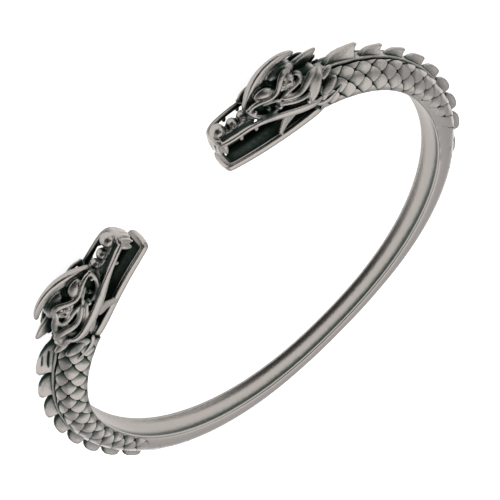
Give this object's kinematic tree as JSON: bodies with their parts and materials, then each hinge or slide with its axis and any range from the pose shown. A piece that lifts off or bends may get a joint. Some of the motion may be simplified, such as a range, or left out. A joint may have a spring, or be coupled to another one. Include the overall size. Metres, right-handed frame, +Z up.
{
  "type": "open dragon head arm ring",
  "caption": "Open arm ring of cast silver with a scaly, finned band and an open-mouthed dragon's head at each end.",
  "frame": {"origin": "the middle of the box of the ring where it lies on its side, on the floor", "axes": "+X across the wrist towards the head that is bent outwards, +Y from the gap towards the back of the band, +Z up along the wrist"},
  "size_m": [0.0718, 0.0544, 0.0068],
  "materials": {
    "silver": "oxidised silver, satin on the raised parts and near black in the recesses"
  },
  "bodies": {
    "root": {"arm_ring": "silver"}
  },
  "joints": []
}
